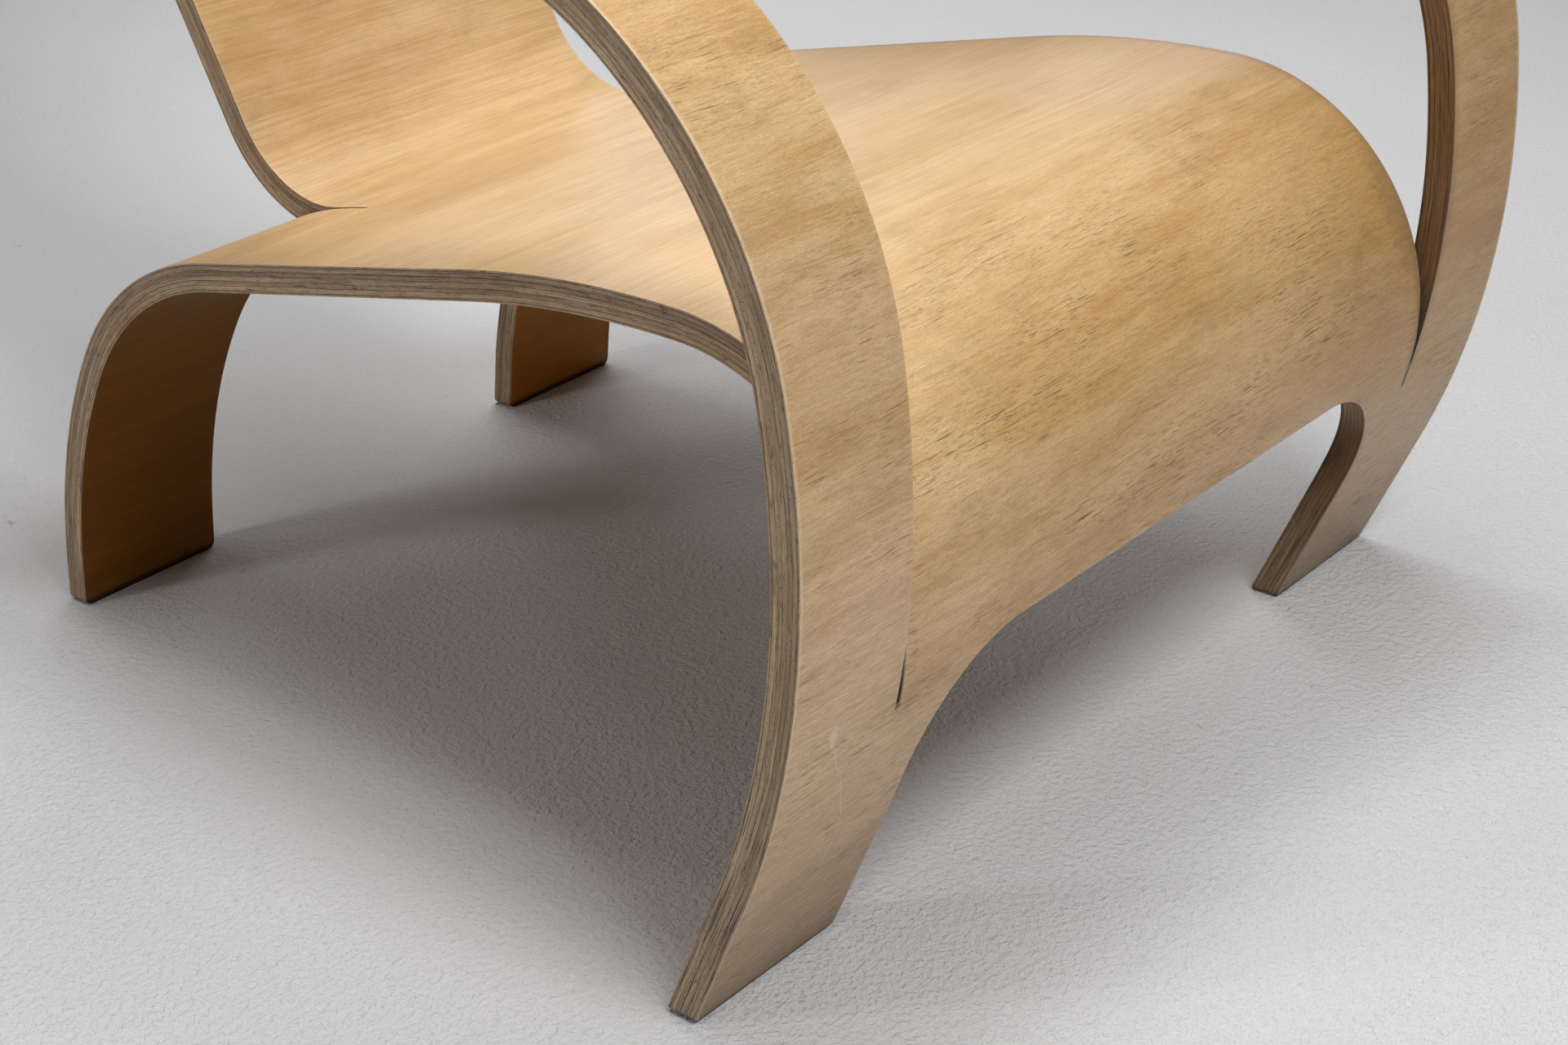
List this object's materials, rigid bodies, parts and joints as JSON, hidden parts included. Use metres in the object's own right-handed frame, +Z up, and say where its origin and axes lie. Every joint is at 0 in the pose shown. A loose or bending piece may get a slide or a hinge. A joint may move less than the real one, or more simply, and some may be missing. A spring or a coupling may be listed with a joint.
{
  "type": "plywood armchair",
  "caption": "Low armchair cut and bent from one plywood sheet, with front legs that sweep up into open arms, a rolled seat front, a reclined back and curved rear legs.",
  "frame": {"origin": "on the floor, under the middle of the chair's width and depth", "axes": "+Z up, the chair faces -Y, +X to the right of someone who stands in front of it and looks at it"},
  "size_m": [0.605, 0.877, 0.755],
  "materials": {
    "face_veneer": "worn satin varnish over pale veneer, grain across the chair",
    "long_grain_ply": "bare cut edge, grain along the sheet",
    "cross_grain_ply": "bare cut edge, grain across the sheet"
  },
  "bodies": {
    "root": {"upper_face_veneer": "face_veneer", "upper_crossband": "long_grain_ply", "upper_inner_ply": "cross_grain_ply", "centre_ply": "long_grain_ply", "lower_inner_ply": "cross_grain_ply", "lower_crossband": "long_grain_ply", "under_face_veneer": "face_veneer"}
  },
  "joints": []
}
